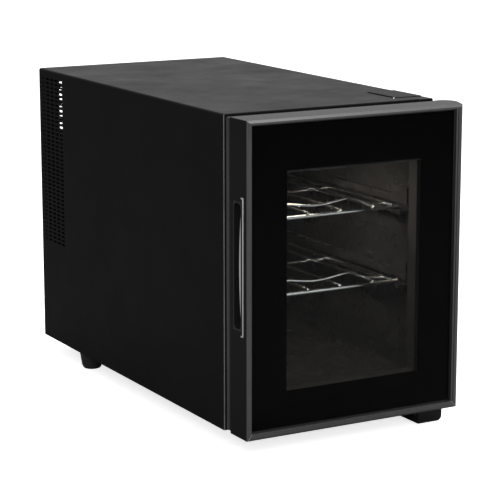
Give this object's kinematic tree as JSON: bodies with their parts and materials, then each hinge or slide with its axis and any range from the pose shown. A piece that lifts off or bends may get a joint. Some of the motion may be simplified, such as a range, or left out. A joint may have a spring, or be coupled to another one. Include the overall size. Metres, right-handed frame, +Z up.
{
  "type": "wine cooler",
  "caption": "Countertop thermoelectric wine cooler with a right-hinged double-glazed door, wire bottle shelves, a finger pocket handle and a fan-cooled rear compartment.",
  "frame": {"origin": "centre of the overall footprint, on the surface that the cooler stands on", "axes": "+Z up, -Y out of the glass door's front, +Y towards the rear cover, +X towards the hinge side (the right as seen from the front)"},
  "size_m": [0.2726, 0.5287, 0.3576],
  "materials": {
    "satin_black_steel": "satin, fine texture",
    "graphite_frame": "satin",
    "black_plastic": "fine grained",
    "liner_plastic": "semi gloss",
    "pocket_plastic": "gloss",
    "switch_plastic": "gloss",
    "knob_plastic": "satin",
    "foot_plastic": "semi gloss, ribbed",
    "foam": "cut foam",
    "galvanised_steel": "galvanised",
    "screw_steel": "zinc",
    "chrome": "polished",
    "heat_sink": "extruded",
    "ceramic_white": "matt",
    "grey_gasket": "closed-cell",
    "board_green": "solder mask",
    "wire_sleeve": "satin",
    "lamp_diffuser": "frosted",
    "lamp_board": "solder mask",
    "thermostat_blue": "moulded",
    "sensor_grey": "moulded",
    "tinted_glass": "polished, tinted",
    "clear_glass": "polished",
    "black_print": "fired on",
    "seal_rubber": "soft",
    "bush_acetal": "self lubricating"
  },
  "bodies": {
    "cabinet": {"outer_wrap": "satin_black_steel", "left_vent_grille": "satin_black_steel", "right_vent_grille": "satin_black_steel", "base_pan": "satin_black_steel", "rear_cover": "black_plastic", "rear_cover_screws": "screw_steel", "front_collar": "black_plastic", "cabin_liner": "liner_plastic", "insulation_foam": "foam", "rear_bulkhead": "galvanised_steel", "upper_hinge": "satin_black_steel", "upper_hinge_screws": "screw_steel", "hinge_cover": "satin_black_steel", "lower_hinge": "satin_black_steel", "lower_hinge_foot": "black_plastic", "lower_hinge_screws": "screw_steel", "hinge_washer": "chrome", "rear_left_foot": "foot_plastic", "rear_right_foot": "foot_plastic", "front_left_foot": "foot_plastic", "foot_screws": "screw_steel", "cold_sink": "heat_sink", "cold_block": "heat_sink", "thermoelectric_module": "ceramic_white", "module_gasket": "grey_gasket", "hot_sink": "heat_sink", "stack_screws": "screw_steel", "cold_fan_frame": "black_plastic", "hot_fan_frame": "black_plastic", "hot_fan_screws": "screw_steel", "air_cover": "black_plastic", "board_tray": "black_plastic", "power_board": "board_green", "power_inlet": "black_plastic", "wiring_harness": "wire_sleeve", "control_housing": "black_plastic", "lamp_lens": "lamp_diffuser", "led_board": "lamp_board", "thermostat_body": "thermostat_blue", "temperature_sensor": "sensor_grey"},
    "door": {"door_frame": "graphite_frame", "door_glass": "tinted_glass", "glass_print": "black_print", "pane_spacer": "heat_sink", "inner_glass": "clear_glass", "door_foam": "foam", "door_back_plate": "black_plastic", "door_seal": "seal_rubber", "handle_pocket": "pocket_plastic", "handle_grip": "chrome", "handle_strip": "chrome", "upper_hinge_bush": "bush_acetal", "lower_hinge_bush": "bush_acetal", "back_plate_screws": "screw_steel"},
    "upper_shelf_slide": {"upper_shelf": "chrome"},
    "lower_shelf_slide": {"lower_shelf": "chrome"},
    "cold_fan": {"cold_fan_rotor": "black_plastic"},
    "hot_fan": {"hot_fan_rotor": "black_plastic"},
    "knob": {"thermostat_knob": "knob_plastic"},
    "light_switch": {"light_switch_rocker": "switch_plastic"}
  },
  "joints": [
    {"name": "door_hinge", "type": "hinge", "parent": "cabinet", "child": "door", "pos_m": [0.1203, -0.2333, 0.19], "axis": [0, 0, 1], "range_deg": [0, 110]},
    {"name": "upper_shelf_travel", "type": "slide", "parent": "cabinet", "child": "upper_shelf_slide", "axis": [0, -1, 0], "range_m": [0, 0.015]},
    {"name": "lower_shelf_travel", "type": "slide", "parent": "cabinet", "child": "lower_shelf_slide", "axis": [0, -1, 0], "range_m": [0, 0.015]},
    {"name": "cold_fan_spin", "type": "hinge", "parent": "cabinet", "child": "cold_fan", "pos_m": [-0.0037, 0.1067, 0.21], "axis": [0, 1, 0], "continuous": true},
    {"name": "hot_fan_spin", "type": "hinge", "parent": "cabinet", "child": "hot_fan", "pos_m": [-0.0037, 0.2147, 0.21], "axis": [0, 1, 0], "continuous": true},
    {"name": "knob_turn", "type": "hinge", "parent": "cabinet", "child": "knob", "pos_m": [0.0303, -0.1873, 0.3205], "axis": [0, 1, 0], "range_deg": [0, 270]},
    {"name": "light_switch_rock", "type": "hinge", "parent": "cabinet", "child": "light_switch", "pos_m": [-0.0377, -0.1783, 0.3205], "axis": [1, 0, 0], "range_deg": [-7, 7]}
  ]
}
